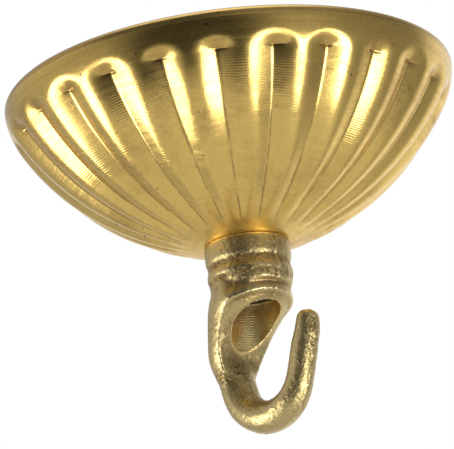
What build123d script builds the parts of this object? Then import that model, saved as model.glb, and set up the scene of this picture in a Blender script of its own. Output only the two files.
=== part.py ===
from build123d import *
import math
import os

# Pressed brass ceiling canopy with a cast brass lamp hook, in millimetres.
# The origin is the centre of the rim on the ceiling plane. +Z goes up into the
# ceiling, and +X points to the side where the tip of the hook stands.

# Length of the mounting bar, which the canopy covers
bar_length = 65.0
bar_end_clearance = 4.9

# Canopy sheet
rim_lip = 2.6
canopy_radius = bar_length / 2 + bar_end_clearance + rim_lip
canopy_depth = 29.9
sheet = 0.8
rim_band = 1.8
rim_bend = 1.3
shoulder_radius = 15.0
shoulder_lean = 8.0
bowl_radius = 48.5
seat_radius = 8.4
wire_hole_radius = 5.25

# Flutes pressed into the sheet
flute_count = 24
flute_depth = 1.3
flute_top = 2.9
flute_run_in = 2.6
flute_run_out = 1.8
ring_count = 18
ring_crowding = 1.4

# Threaded nipple, M10 x 1
thread_radius = 5.0
thread_clearance = 0.05
nipple_overhang = 0.55
nipple_bore_radius = 3.75
nipple_chamfer = 0.5

# Nuts and washers on the nipple
nut_across_flats = 14.0
nut_height = 3.0
nut_chamfer = 0.7
seat_washer_margin = 1.4
seat_washer_radius = seat_radius - seat_washer_margin
seat_washer_height = 1.0
lock_washer_radius = 7.0
lock_washer_height = 0.7
lock_washer_teeth = 10
lock_tooth_length = 1.0
washer_clearance = 0.15

# Mounting bar above the canopy, a cranked steel strap
bar_width = 14.0
bar_thickness = 1.5
bar_drop = 11.0
bar_plateau = 34.0
bar_foot = 12.5
slot_end = 7.1
slot_pitch = bar_length - 2 * slot_end
slot_width = 4.5
slot_length = 8.0

# Earth screw on the bar, M4
earth_offset = 12.8
earth_thread_radius = 2.0
earth_screw_length = 7.0
earth_head_radius = 3.5
earth_head_height = 2.2
earth_slot_width = 1.0
earth_slot_depth = 1.1
earth_washer_radius = 4.0
earth_washer_height = 0.8

# Collar of the hook casting, as heights below the canopy seat
collar_radius = 7.6
collar_band = 2.9
collar_groove_radius = 7.25
collar_groove_drop = 3.9
collar_bead_radius = 7.6
collar_bead_drop = 5.8
collar_neck_radius = 7.3
collar_neck_drop = 8.1

# Wireway of the hook, a thread and a drilled hole that breaks out of the throat
thread_drop = 9.5
drill_radius = 4.55
drill_drop = 18.3

# Bend and arm of the hook, with the radius where the arm starts
bend_radius = 8.35
bend_offset = 1.7
bend_drop = 24.1
arm_length = 11.8
arm_lean = 22.0
tip_radius = 1.75
tip_rounding = 0.85

# Stations down the shank: drop below the seat, X of the throat edges, half width,
# crown of the throat face (hollow when negative) and depth to the back
shank_stations = (
    (collar_neck_drop, 5.8, 4.27, 1.40, 13.00),
    (9.6, 4.0, 5.90, 2.30, 11.75),
    (11.1, 1.6, 6.90, 3.50, 10.00),
    (13.1, -0.7, 6.86, 3.40, 8.40),
    (15.1, -2.5, 6.40, 2.30, 7.25),
    (17.6, -4.0, 5.67, 0.45, 6.40),
    (19.9, -4.9, 4.80, -0.35, 5.80),
    (22.0, -5.5, 4.00, 1.10, 4.70),
)
# Stations round the bend: angle back from the arm side, radius of the centre line,
# half width, depth to the throat and depth to the back
bend_stations = (
    (180.0, 7.90, 3.50, 2.85, 3.35),
    (206.0, 7.85, 3.50, 2.95, 3.10),
    (232.0, 7.75, 3.55, 2.95, 3.00),
    (258.0, 7.75, 3.50, 2.90, 2.90),
    (285.0, 7.95, 3.30, 2.75, 2.75),
    (312.0, 8.20, 2.90, 2.55, 2.55),
)
# Stations up the arm: share of its length and half width above that of the tip
arm_stations = (
    (0.0, 0.68),
    (0.25, 0.64),
    (0.5, 0.58),
    (0.75, 0.40),
    (1.0, 0.0),
)


def rim_profile():
    """Section of the rim band with its turned-in lip, on the XZ plane."""
    inner_bend = rim_bend - sheet
    bend_x = canopy_radius - rim_bend
    quarter = math.sqrt(0.5)
    outer_mid = (bend_x + rim_bend * quarter, -rim_bend + rim_bend * quarter)
    inner_mid = (bend_x + inner_bend * quarter, -rim_bend + inner_bend * quarter)
    outline = [
        Line((canopy_radius, -rim_band), (canopy_radius, -rim_bend)),
        ThreePointArc((canopy_radius, -rim_bend), outer_mid, (bend_x, 0)),
        Line((bend_x, 0), (canopy_radius - rim_lip, 0)),
        Line((canopy_radius - rim_lip, 0), (canopy_radius - rim_lip, -sheet)),
        Line((canopy_radius - rim_lip, -sheet), (bend_x, -sheet)),
        ThreePointArc((bend_x, -sheet), inner_mid, (canopy_radius - sheet, -rim_bend)),
        Line((canopy_radius - sheet, -rim_bend), (canopy_radius - sheet, -rim_band)),
        Line((canopy_radius - sheet, -rim_band), (canopy_radius, -rim_band)),
    ]
    return Plane.XZ * make_face(outline)


def bowl_centres():
    """Centres of the shoulder arc and of the tangent bowl arc, as (r, z) pairs."""
    lean = math.radians(shoulder_lean)
    shoulder = (
        canopy_radius - shoulder_radius * math.cos(lean),
        -rim_band + shoulder_radius * math.sin(lean),
    )
    # The bowl arc is tangent to the shoulder and meets the edge of the flat seat.
    across = seat_radius - shoulder[0]
    down = -canopy_depth - shoulder[1]
    reach = math.hypot(across, down)
    between = bowl_radius - shoulder_radius
    along = (between**2 - bowl_radius**2 + reach**2) / (2 * reach)
    aside = math.sqrt(between**2 - along**2)
    bowl = (
        shoulder[0] + (along * across + aside * down) / reach,
        shoulder[1] + (along * down - aside * across) / reach,
    )
    return shoulder, bowl


def profile_stations():
    """Points down the sheet from the rim band to the seat.

    Each one is the travel along the sheet, the centre and radius of the arc that
    it lies on, and the angle of the outward normal below the level.
    """
    shoulder, bowl = bowl_centres()
    first = math.radians(shoulder_lean)
    tangent = math.atan2(bowl[1] - shoulder[1], shoulder[0] - bowl[0])
    last = math.atan2(bowl[1] + canopy_depth, seat_radius - bowl[0])
    shoulder_travel = shoulder_radius * (tangent - first)
    total = shoulder_travel + bowl_radius * (last - tangent)
    stations = []
    for index in range(ring_count):
        travel = total * (index / (ring_count - 1)) ** ring_crowding
        if travel < shoulder_travel:
            stations.append((travel, shoulder, shoulder_radius, first + travel / shoulder_radius))
        else:
            angle = tangent + (travel - shoulder_travel) / bowl_radius
            stations.append((travel, bowl, bowl_radius, angle))
    return stations


def smooth_step(value):
    """Ease from 0 to 1."""
    share = min(max(value, 0.0), 1.0)
    return share * share * (3 - 2 * share)


def crease_depth(travel, radius):
    """Depth of the flutes below their crowns, square to the sheet."""
    run_in = smooth_step((travel - flute_top) / flute_run_in)
    run_out = smooth_step((radius - seat_radius) / flute_run_out)
    return flute_depth * run_in * run_out * radius / canopy_radius


def arc_piece(centre, radius, first, second, start, end):
    """Cubic curve along a circle in the plane of two unit vectors, angles in radians."""
    handle = 4 / 3 * math.tan((end - start) / 4) * radius
    points = []
    for angle, reach in ((start, 0), (start, handle), (end, -handle), (end, 0)):
        spoke = first * math.cos(angle) + second * math.sin(angle)
        along = second * math.cos(angle) - first * math.sin(angle)
        points.append(centre + spoke * radius + along * reach)
    return Bezier(*points)


def flute_ring(station, inset):
    """Outline of the fluted sheet at one height: an arc over each crown."""
    travel, centre, arc_radius, normal = station
    crown = centre[0] + (arc_radius - inset) * math.cos(normal)
    z = centre[1] - (arc_radius - inset) * math.sin(normal)
    outer_crown = centre[0] + arc_radius * math.cos(normal)
    crease = crown - crease_depth(travel, outer_crown) / math.cos(normal)
    half_pitch = math.pi / flute_count
    half_chord = crease * math.sin(half_pitch)
    rise = crown - crease * math.cos(half_pitch)
    radius = (half_chord**2 + rise**2) / (2 * rise)
    half_angle = 2 * math.atan(rise / half_chord)
    arcs = []
    for index in range(flute_count):
        outward = Vector(1, 0, 0).rotate(Axis.Z, (index + 0.5) * 360 / flute_count)
        across = outward.rotate(Axis.Z, 90)
        middle = outward * (crown - radius) + Vector(0, 0, z)
        arcs.append(arc_piece(middle, radius, outward, across, -half_angle, half_angle))
    return Wire(arcs)


def fluted_core(inset):
    """Solid body inside the outer or the inner face of the fluted bowl."""
    return Solid.make_loft([flute_ring(station, inset) for station in profile_stations()])


def canopy_shell():
    """Pressed sheet: rim band, shoulder, 24 flutes, flat seat and wire hole."""
    rim = revolve(rim_profile(), Axis.Z)
    shell = fluted_core(0) - fluted_core(sheet)
    hole = Pos(0, 0, -canopy_depth) * Cylinder(wire_hole_radius, 4 * sheet)
    return rim + shell - hole


def collar():
    """Turned collar of the hook: band, groove, bead and neck."""
    seat = -canopy_depth
    band_z = seat - collar_band
    groove_z = seat - collar_groove_drop
    bead_z = seat - collar_bead_drop
    neck_z = seat - collar_neck_drop
    outline = [
        Line((0, seat), (collar_radius, seat)),
        Line((collar_radius, seat), (collar_radius, band_z)),
        Spline(
            (collar_radius, band_z),
            (collar_groove_radius, groove_z),
            (collar_bead_radius, bead_z),
            (collar_neck_radius, neck_z),
            tangents=((0, -1), (0, -1)),
        ),
        Line((collar_neck_radius, neck_z), (0, neck_z)),
        Line((0, neck_z), (0, seat)),
    ]
    return revolve(Plane.XZ * make_face(outline), Axis.Z)


def hook_section(centre, inward, half_width, throat, back):
    """Section of the hook: one arc on the throat side and one round the back."""
    side = Vector(0, 1, 0)
    pieces = []
    for facing, depth, turn in ((inward, throat, 1), (inward * -1, back, -1)):
        radius = (half_width**2 + depth**2) / (2 * depth)
        half_angle = 2 * math.atan(depth / half_width) * turn
        middle = centre + facing * (depth - radius)
        pieces.append(arc_piece(middle, radius, facing, side, -half_angle, 0))
        pieces.append(arc_piece(middle, radius, facing, side, 0, half_angle))
    return Wire(pieces)


def hook_rod():
    """Shank, bend and arm of the hook, drawn through its stations."""
    sections = []
    for drop, edge_x, half_width, throat, back in shank_stations:
        centre = Vector(edge_x, 0, -canopy_depth - drop)
        sections.append(hook_section(centre, Vector(1, 0, 0), half_width, throat, back))
    bend_centre = Vector(bend_offset, 0, -canopy_depth - bend_drop)
    for angle, reach, half_width, throat, back in bend_stations:
        outward = Vector(1, 0, 0).rotate(Axis.Y, -angle)
        centre = bend_centre + outward * reach
        sections.append(hook_section(centre, outward * -1, half_width, throat, back))
    outward = Vector(1, 0, 0).rotate(Axis.Y, arm_lean)
    along = Vector(0, 0, 1).rotate(Axis.Y, arm_lean)
    arm_start = bend_centre + outward * bend_radius
    for share, excess in arm_stations:
        radius = tip_radius + excess
        centre = arm_start + along * (arm_length * share)
        sections.append(hook_section(centre, outward * -1, radius, radius, radius))
    rod = Solid.make_loft(sections)
    tip = arm_start + along * arm_length
    return fillet(rod.faces().sort_by_distance(tip)[0].edges(), tip_radius * tip_rounding)


def hook_casting():
    """Cast brass hook with its collar, threaded socket and drilled wireway."""
    thread = Cylinder(
        thread_radius + thread_clearance, thread_drop, align=(Align.CENTER, Align.CENTER, Align.MAX)
    )
    drill = Cylinder(drill_radius, drill_drop, align=(Align.CENTER, Align.CENTER, Align.MAX))
    wireway = Pos(0, 0, -canopy_depth) * (thread + drill)
    return collar() + hook_rod() - wireway


def nipple_foot():
    """Height of the lower end of the nipple, just inside the end of its thread."""
    return -canopy_depth - thread_drop + washer_clearance


def nipple_top():
    """Height of the upper end of the nipple, just clear of the upper nut."""
    return -bar_drop + lock_washer_height + nut_height + nipple_overhang


def threaded_nipple():
    """Hollow M10 x 1 steel nipple that carries the hook and the wires."""
    length = nipple_top() - nipple_foot()
    tube = Cylinder(thread_radius, length) - Cylinder(nipple_bore_radius, length)
    rims = tube.edges().filter_by(GeomType.CIRCLE).sort_by(SortBy.RADIUS)[-2:]
    tube = chamfer(rims, nipple_chamfer)
    return Pos(0, 0, nipple_foot() + length / 2) * tube


def hex_nut(bottom):
    """Chamfered hexagon nut round the nipple, standing on a height."""
    corner = nut_across_flats / math.sqrt(3)
    prism = extrude(RegularPolygon(corner, 6), nut_height)
    cone = Cylinder(corner, nut_height, align=(Align.CENTER, Align.CENTER, Align.MIN))
    ends = cone.edges().filter_by(GeomType.CIRCLE)
    cone = chamfer(ends, nut_chamfer / 2, nut_chamfer)
    bore = Cylinder(thread_radius + thread_clearance, 3 * nut_height)
    return Pos(0, 0, bottom) * ((prism & cone) - bore)


def plain_washer(x, bottom, radius, hole, height):
    """Flat washer with its underside at a height."""
    ring = Circle(radius) - Circle(hole)
    return Pos(x, 0, bottom) * extrude(ring, height)


def toothed_washer(bottom):
    """Lock washer with teeth turned in to the nipple."""
    hole = thread_radius + washer_clearance
    ring = Circle(lock_washer_radius) - Circle(hole)
    gap_width = math.pi * hole / lock_washer_teeth
    gaps = PolarLocations(hole, lock_washer_teeth) * Rectangle(2 * lock_tooth_length, gap_width)
    return Pos(0, 0, bottom) * extrude(ring - gaps, lock_washer_height)


def bar_underside():
    """Height of the underside of the bar's middle."""
    return -bar_drop - bar_thickness


def mounting_bar():
    """Steel strap: two slotted feet on the ceiling and a dropped middle."""
    foot_x = bar_length / 2
    knee_x = foot_x - bar_foot
    middle_x = bar_plateau / 2
    crank = math.atan2(bar_drop, knee_x - middle_x)
    mitre = bar_thickness * math.tan(crank / 2)
    right_half = [
        (middle_x, -bar_drop),
        (knee_x, 0),
        (foot_x, 0),
        (foot_x, -bar_thickness),
        (knee_x + mitre, -bar_thickness),
        (middle_x + mitre, -bar_drop - bar_thickness),
    ]
    left_half = [(-x, z) for x, z in reversed(right_half)]
    strip = make_face(Polyline(*right_half, *left_half, close=True))
    bar = extrude(Plane.XZ * strip, bar_width / 2, both=True)
    slot = extrude(SlotOverall(slot_length, slot_width), 2 * bar_thickness, both=True)
    bar -= GridLocations(slot_pitch, 0, 2, 1) * slot
    bar -= Pos(0, 0, bar_underside()) * Cylinder(thread_radius + washer_clearance, 4 * bar_thickness)
    earth_hole = Cylinder(earth_thread_radius + thread_clearance, 4 * bar_thickness)
    return bar - Pos(earth_offset, 0, bar_underside()) * earth_hole


def earth_screw():
    """Slotted brass screw in the bar for the earth wire."""
    under_head = bar_underside() - earth_washer_height
    head = Cylinder(earth_head_radius, earth_head_height, align=(Align.CENTER, Align.CENTER, Align.MAX))
    head = fillet(head.edges().filter_by(GeomType.CIRCLE).sort_by(Axis.Z)[0], earth_head_height / 3)
    head -= Pos(0, 0, -earth_head_height) * Box(3 * earth_head_radius, earth_slot_width, 2 * earth_slot_depth)
    shank = Cylinder(
        earth_thread_radius, earth_screw_length, align=(Align.CENTER, Align.CENTER, Align.MIN)
    )
    return Pos(earth_offset, 0, under_head) * (head + shank)


def inner_seat_height():
    """Height of the flat seat inside the canopy, where the washer lies."""
    travel, centre, arc_radius, normal = profile_stations()[-1]
    return centre[1] - (arc_radius - sheet) * math.sin(normal)


def write_parts():
    """Build every piece in its place and write one file for each."""
    inner_seat = inner_seat_height()
    lock_z = inner_seat + seat_washer_height
    lower_nut_z = bar_underside() - nut_height
    bar_top = -bar_drop
    pieces = {
        "canopy_shell": canopy_shell(),
        "hook_casting": hook_casting(),
        "threaded_nipple": threaded_nipple(),
        "seat_washer": plain_washer(
            0, inner_seat, seat_washer_radius, thread_radius + washer_clearance, seat_washer_height
        ),
        "seat_lock_washer": toothed_washer(lock_z),
        "seat_nut": hex_nut(lock_z + lock_washer_height),
        "bar_lower_nut": hex_nut(lower_nut_z),
        "mounting_bar": mounting_bar(),
        "bar_lock_washer": toothed_washer(bar_top),
        "bar_upper_nut": hex_nut(bar_top + lock_washer_height),
        "earth_screw": earth_screw(),
        "earth_washer": plain_washer(
            earth_offset,
            bar_underside() - earth_washer_height,
            earth_washer_radius,
            earth_thread_radius + thread_clearance,
            earth_washer_height,
        ),
    }
    os.makedirs("parts", exist_ok=True)
    for name, piece in pieces.items():
        export_step(piece, f"parts/{name}.step")


write_parts()
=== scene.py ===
"""Fluted brass ceiling canopy with a cast lamp hook: its meshes, finishes and studio.

The pieces hold their sizes in millimetres, and each finished mesh is scaled to metres.
The finishes hold theirs in metres, as the shader nodes read them. The origin is the
centre of the rim on the ceiling plane, +Z goes up into the ceiling and +X points to the
side where the tip of the hook stands.
"""

from __future__ import annotations

import logging
import math
from dataclasses import dataclass
from enum import Enum

import bmesh
import bpy
from mathutils import Matrix, Vector, noise

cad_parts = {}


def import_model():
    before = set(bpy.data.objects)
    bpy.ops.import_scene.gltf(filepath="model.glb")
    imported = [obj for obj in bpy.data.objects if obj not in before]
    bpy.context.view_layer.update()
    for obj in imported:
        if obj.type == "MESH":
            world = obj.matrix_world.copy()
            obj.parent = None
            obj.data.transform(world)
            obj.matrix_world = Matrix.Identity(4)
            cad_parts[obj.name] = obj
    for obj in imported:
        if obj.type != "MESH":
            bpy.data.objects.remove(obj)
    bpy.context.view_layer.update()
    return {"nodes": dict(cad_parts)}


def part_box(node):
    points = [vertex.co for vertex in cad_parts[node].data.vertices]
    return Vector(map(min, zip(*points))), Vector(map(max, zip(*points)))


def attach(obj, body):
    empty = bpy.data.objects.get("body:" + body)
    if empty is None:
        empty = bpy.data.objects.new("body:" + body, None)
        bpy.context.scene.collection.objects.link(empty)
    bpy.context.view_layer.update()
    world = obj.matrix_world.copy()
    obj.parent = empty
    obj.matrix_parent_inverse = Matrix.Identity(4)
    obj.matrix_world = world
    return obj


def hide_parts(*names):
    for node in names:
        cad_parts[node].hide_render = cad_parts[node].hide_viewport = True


MM = 0.001
LOG = logging.getLogger("canopy")

# Width of the picture in pixels and of the camera's sensor in millimetres
IMAGE_WIDTH = 454
SENSOR = 36.0

# Mean value of a noise, and the middle of one of its cells
NOISE_MIDDLE = 0.5

# Numbers of the sockets of a Mix node that is set to colours
MIX_FIRST, MIX_SECOND, MIX_RESULT = 6, 7, 2

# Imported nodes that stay, by their metal
BRASS_NODES = ("seat_washer", "seat_lock_washer", "seat_nut", "earth_screw", "earth_washer")
STEEL_NODES = ("bar_lower_nut", "mounting_bar", "bar_lock_washer", "bar_upper_nut")

Colour = tuple[float, float, float, float]
Place = tuple[float, float, float]
Socket = bpy.types.NodeSocket

# A range, as its low end and its high end
Span = tuple[float, float]

# Settings of a noise texture, as its scale, detail and roughness
Texture = tuple[float, float, float]


class Slot(Enum):
    """Names of material slots for the new pieces."""

    PRESSED_BRASS = "pressed_brass"
    CAST_BRASS = "cast_brass"
    ZINC_STEEL = "zinc_steel"


class Layer(Enum):
    """Values that the meshes store at their vertices for the materials."""

    TRAVEL = "travel"
    ARCH_SHADE = "arch_shade"
    CREASE = "crease"
    EDGE = "edge"
    SAND = "sand"


def smooth_step(value: float) -> float:
    """Ease a value from 0 to 1."""
    share = min(max(value, 0.0), 1.0)
    return share * share * (3.0 - 2.0 * share)


def bell(offset: float, width: float) -> float:
    """Height of a bell curve that is 1 in its middle."""
    return math.exp(-((offset / width) ** 2))


def direction(azimuth: float, elevation: float) -> Vector:
    """Unit vector towards an azimuth and an elevation, both in degrees."""
    turn, lift = math.radians(azimuth), math.radians(elevation)
    return Vector((math.cos(turn) * math.cos(lift), math.sin(turn) * math.cos(lift), math.sin(lift)))


def spin_line(bm: bmesh.types.BMesh, line: list[bmesh.types.BMVert], steps: int, rise: float) -> None:
    """Spin a chain of vertices one full turn round the upright axis.

    Args:
        bm: The mesh of the chain.
        line: The vertices in order.
        steps: Number of steps in the turn.
        rise: Rise of each step, 0 for a turn that closes on itself.
    """
    edges = [bm.edges.new(pair) for pair in zip(line, line[1:])]
    bmesh.ops.spin(
        bm,
        geom=line + edges,
        cent=(0.0, 0.0, 0.0),
        axis=(0.0, 0.0, 1.0),
        dvec=(0.0, 0.0, rise),
        angle=2.0 * math.pi,
        steps=steps,
        use_merge=rise == 0.0,
    )


def finished_object(bm: bmesh.types.BMesh, name: str) -> bpy.types.Object:
    """Turn a mesh in millimetres into a smooth shaded object in metres.

    Args:
        bm: The mesh, which is freed.
        name: Name of the object and of its mesh.

    Returns:
        The linked object, at the origin, unturned and unscaled.
    """
    bmesh.ops.scale(bm, vec=(MM, MM, MM), verts=bm.verts)
    for face in bm.faces:
        face.smooth = True
    mesh = bpy.data.meshes.new(name)
    bm.to_mesh(mesh)
    bm.free()
    piece = bpy.data.objects.new(name, mesh)
    bpy.context.scene.collection.objects.link(piece)
    return piece


# Node helpers


class ShaderTree:
    """Short calls for adding and joining the nodes of one node tree."""

    def __init__(self, tree: bpy.types.NodeTree) -> None:
        """Keep the tree that the nodes go into."""
        self.tree = tree

    def node(self, kind: str, **settings: object) -> bpy.types.Node:
        """Add a node and set its properties.

        Args:
            kind: Blender's name of the node type.
            settings: Properties of the node by name.

        Returns:
            The new node.
        """
        added = self.tree.nodes.new(kind)
        for key, value in settings.items():
            setattr(added, key, value)
        return added

    def feed(self, socket: Socket, value: object) -> None:
        """Join a socket to an output, or set its value.

        Args:
            socket: The input socket.
            value: The output to join it to, or the value to set.
        """
        if isinstance(value, bpy.types.NodeSocket):
            self.tree.links.new(value, socket)
        else:
            socket.default_value = value

    def math(self, operation: str, *values: object) -> Socket:
        """Add a Math node.

        Args:
            operation: Blender's name of the operation.
            values: Values or outputs for its inputs, in order.

        Returns:
            Its output.
        """
        added = self.node("ShaderNodeMath", operation=operation)
        for socket, value in zip(added.inputs, values):
            self.feed(socket, value)
        return added.outputs[0]

    def remap(self, value: object, low: object, high: object) -> Socket:
        """Spread a range smoothly over 0 to 1.

        Args:
            value: The value to spread.
            low: Where the result is 0.
            high: Where the result is 1.

        Returns:
            The result.
        """
        added = self.node("ShaderNodeMapRange", interpolation_type="SMOOTHSTEP")
        self.feed(added.inputs["Value"], value)
        self.feed(added.inputs["From Min"], low)
        self.feed(added.inputs["From Max"], high)
        return added.outputs["Result"]

    def inverse(self, value: object) -> Socket:
        """Turn a share round, so that 0 becomes 1."""
        return self.math("SUBTRACT", 1.0, value)

    def between(self, value: object, begin: Span, end: Span) -> Socket:
        """Rise from 0 to 1 over one range and fall back to 0 over another."""
        return self.math("MULTIPLY", self.remap(value, *begin), self.inverse(self.remap(value, *end)))

    def noise(self, vector: Socket, scale: object, detail: float, rough: float) -> Socket:
        """Add a noise texture.

        Args:
            vector: Where it is read.
            scale: How fine it is.
            detail: Number of its layers.
            rough: Weight of the finer layers.

        Returns:
            Its value.
        """
        added = self.node("ShaderNodeTexNoise")
        self.feed(added.inputs["Vector"], vector)
        self.feed(added.inputs["Scale"], scale)
        added.inputs["Detail"].default_value = detail
        added.inputs["Roughness"].default_value = rough
        return added.outputs["Fac"]

    def blend(self, factor: object, first: object, second: object) -> Socket:
        """Mix two colours.

        Args:
            factor: Share of the second colour.
            first: The first colour.
            second: The second colour.

        Returns:
            The mixed colour.
        """
        added = self.node("ShaderNodeMix", data_type="RGBA")
        self.feed(added.inputs[0], factor)
        self.feed(added.inputs[MIX_FIRST], first)
        self.feed(added.inputs[MIX_SECOND], second)
        return added.outputs[MIX_RESULT]

    def effect(self, group: bpy.types.NodeTree, **values: object) -> bpy.types.Node:
        """Place an effect group, with its inputs named in lower case.

        Args:
            group: The node group.
            values: Values or outputs for the inputs, by name.

        Returns:
            The group node.
        """
        placed = self.node("ShaderNodeGroup", node_tree=group)
        for key, value in values.items():
            self.feed(placed.inputs[key.capitalize()], value)
        return placed


@dataclass
class EffectLibrary:
    """Surface effects that several finishes share, each built once as a node group.

    Where a noise takes its scale from an input of the group, its detail and roughness
    are given alone.
    """

    wobble: Texture = (220.0, 2.0, 0.5)
    wobble_reach: float = 0.0008
    patch: Span = (3.0, 0.6)
    patch_span: Span = (0.40, 0.62)
    cloud: Span = (5.0, 0.62)
    fine_grain: Span = (4.0, 0.7)
    coarse_grain: Span = (3.0, 0.6)
    coarse_scale: float = 0.6
    pit_span: Span = (0.40, 0.52)
    pit_depth: float = 1.2

    def __post_init__(self) -> None:
        """Build every effect."""
        self.turned = self._turned_lines()
        self.specks = self._specks()
        self.tarnish = self._tarnish()
        self.grain = self._casting_grain()

    @staticmethod
    def _group(
        name: str, inputs: dict[str, float | None], outputs: tuple[str, ...]
    ) -> tuple[ShaderTree, bpy.types.Node, bpy.types.Node]:
        """Start a node group.

        Args:
            name: Name of the group.
            inputs: Default value by socket name, None for a vector.
            outputs: Names of the value outputs.

        Returns:
            The helper of the group's tree, its input node and its output node.
        """
        group = bpy.data.node_groups.new(name, "ShaderNodeTree")
        for label, value in inputs.items():
            kind = "NodeSocketVector" if value is None else "NodeSocketFloat"
            socket = group.interface.new_socket(label, in_out="INPUT", socket_type=kind)
            if value is not None:
                socket.default_value = value
        for label in outputs:
            group.interface.new_socket(label, in_out="OUTPUT", socket_type="NodeSocketFloat")
        tree = ShaderTree(group)
        return tree, tree.node("NodeGroupInput"), tree.node("NodeGroupOutput")

    def _turned_lines(self) -> bpy.types.NodeTree:
        """Fine lines left by spinning or turning, stronger in patches.

        Returns:
            The node group.
        """
        tree, given, result = self._group(
            "Turned lines", {"Vector": None, "Travel": 0.0, "Pitch": 0.0004, "Scale": 150.0}, ("Height",)
        )
        place = given.outputs["Vector"]
        wobble = tree.noise(place, *self.wobble)
        shifted = tree.math("MULTIPLY_ADD", wobble, self.wobble_reach, given.outputs["Travel"])
        phase = tree.math("DIVIDE", shifted, given.outputs["Pitch"])
        wave = tree.math("SINE", tree.math("MULTIPLY", phase, 2.0 * math.pi))
        patch = tree.remap(tree.noise(place, given.outputs["Scale"], *self.patch), *self.patch_span)
        tree.feed(result.inputs["Height"], tree.math("MULTIPLY", wave, patch))
        return tree.tree

    def _specks(self) -> bpy.types.NodeTree:
        """Small dark specks and pinholes, as a mask.

        Returns:
            The node group.
        """
        tree, given, result = self._group(
            "Specks", {"Vector": None, "Scale": 300.0, "Size": 0.2, "Share": 0.1}, ("Mask",)
        )
        cells = tree.node("ShaderNodeTexVoronoi")
        tree.feed(cells.inputs["Vector"], given.outputs["Vector"])
        tree.feed(cells.inputs["Scale"], given.outputs["Scale"])
        chances = tree.node("ShaderNodeSeparateColor")
        tree.feed(chances.inputs[0], cells.outputs["Color"])
        chosen = tree.math("LESS_THAN", chances.outputs[0], given.outputs["Share"])
        near = tree.math("LESS_THAN", cells.outputs["Distance"], given.outputs["Size"])
        tree.feed(result.inputs["Mask"], tree.math("MULTIPLY", chosen, near))
        return tree.tree

    def _tarnish(self) -> bpy.types.NodeTree:
        """Cloudy darker film, as a mask.

        Returns:
            The node group.
        """
        tree, given, result = self._group(
            "Tarnish", {"Vector": None, "Scale": 60.0, "Low": 0.4, "High": 0.7}, ("Mask",)
        )
        clouds = tree.noise(given.outputs["Vector"], given.outputs["Scale"], *self.cloud)
        tree.feed(result.inputs["Mask"], tree.remap(clouds, given.outputs["Low"], given.outputs["High"]))
        return tree.tree

    def _casting_grain(self) -> bpy.types.NodeTree:
        """Grain and pits of a sand casting.

        Returns:
            The node group.
        """
        tree, given, result = self._group(
            "Casting grain", {"Vector": None, "Scale": 900.0}, ("Height", "Pits")
        )
        place = given.outputs["Vector"]
        grain = tree.noise(place, given.outputs["Scale"], *self.fine_grain)
        coarse_scale = tree.math("MULTIPLY", given.outputs["Scale"], self.coarse_scale)
        coarse = tree.noise(place, coarse_scale, *self.coarse_grain)
        pits = tree.inverse(tree.remap(coarse, *self.pit_span))
        tree.feed(result.inputs["Height"], tree.math("MULTIPLY_ADD", pits, -self.pit_depth, grain))
        tree.feed(result.inputs["Pits"], pits)
        return tree.tree


class MetalTree(ShaderTree):
    """Nodes of one metal material, whose patterns are placed by Object coordinates."""

    def __init__(self, name: str, effects: EffectLibrary) -> None:
        """Start the material.

        Args:
            name: Name of the material.
            effects: The shared effect groups.
        """
        self.made = bpy.data.materials.new(name)
        self.made.use_nodes = True
        super().__init__(self.made.node_tree)
        self.effects = effects
        self.place = self.node("ShaderNodeTexCoord").outputs["Object"]

    def stored(self, layer: Layer) -> Socket:
        """Value that the mesh stores at its vertices."""
        return self.node("ShaderNodeAttribute", attribute_name=layer.value).outputs["Fac"]

    def film(self, scale: float, low: float, high: float) -> Socket:
        """Mask of a cloudy film."""
        placed = self.effect(self.effects.tarnish, vector=self.place, scale=scale, low=low, high=high)
        return placed.outputs["Mask"]

    def lines(self, along: Socket, pitch: float, scale: float) -> Socket:
        """Height of fine lines across a direction, in patches of the given scale."""
        placed = self.effect(self.effects.turned, vector=self.place, travel=along, pitch=pitch, scale=scale)
        return placed.outputs["Height"]

    def round_axis(self) -> tuple[Socket, Socket]:
        """Read a place by its distance from the upright axis and by its height.

        Returns:
            The distance and the height.
        """
        parts = self.node("ShaderNodeSeparateXYZ")
        self.feed(parts.inputs[0], self.place)
        squares = self.math("MULTIPLY", parts.outputs[0], parts.outputs[0])
        squares = self.math("MULTIPLY_ADD", parts.outputs[1], parts.outputs[1], squares)
        return self.math("SQRT", squares), parts.outputs[2]

    def finished(
        self, colour: Socket, roughness: Socket, height: Socket, distance: float = 1.0
    ) -> bpy.types.Material:
        """Join the metal's colour, roughness and relief to its shader.

        Args:
            colour: The base colour.
            roughness: The roughness.
            height: Height of the relief.
            distance: Length in metres that a height of 1 stands for.

        Returns:
            The material.
        """
        shader = self.made.node_tree.nodes["Principled BSDF"]
        self.feed(shader.inputs["Base Color"], colour)
        self.feed(shader.inputs["Roughness"], roughness)
        shader.inputs["Metallic"].default_value = 1.0
        bump = self.node("ShaderNodeBump")
        bump.inputs["Strength"].default_value = 1.0
        bump.inputs["Distance"].default_value = distance
        self.feed(bump.inputs["Height"], height)
        self.feed(shader.inputs["Normal"], bump.outputs["Normal"])
        return self.made


# Finishes


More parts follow.
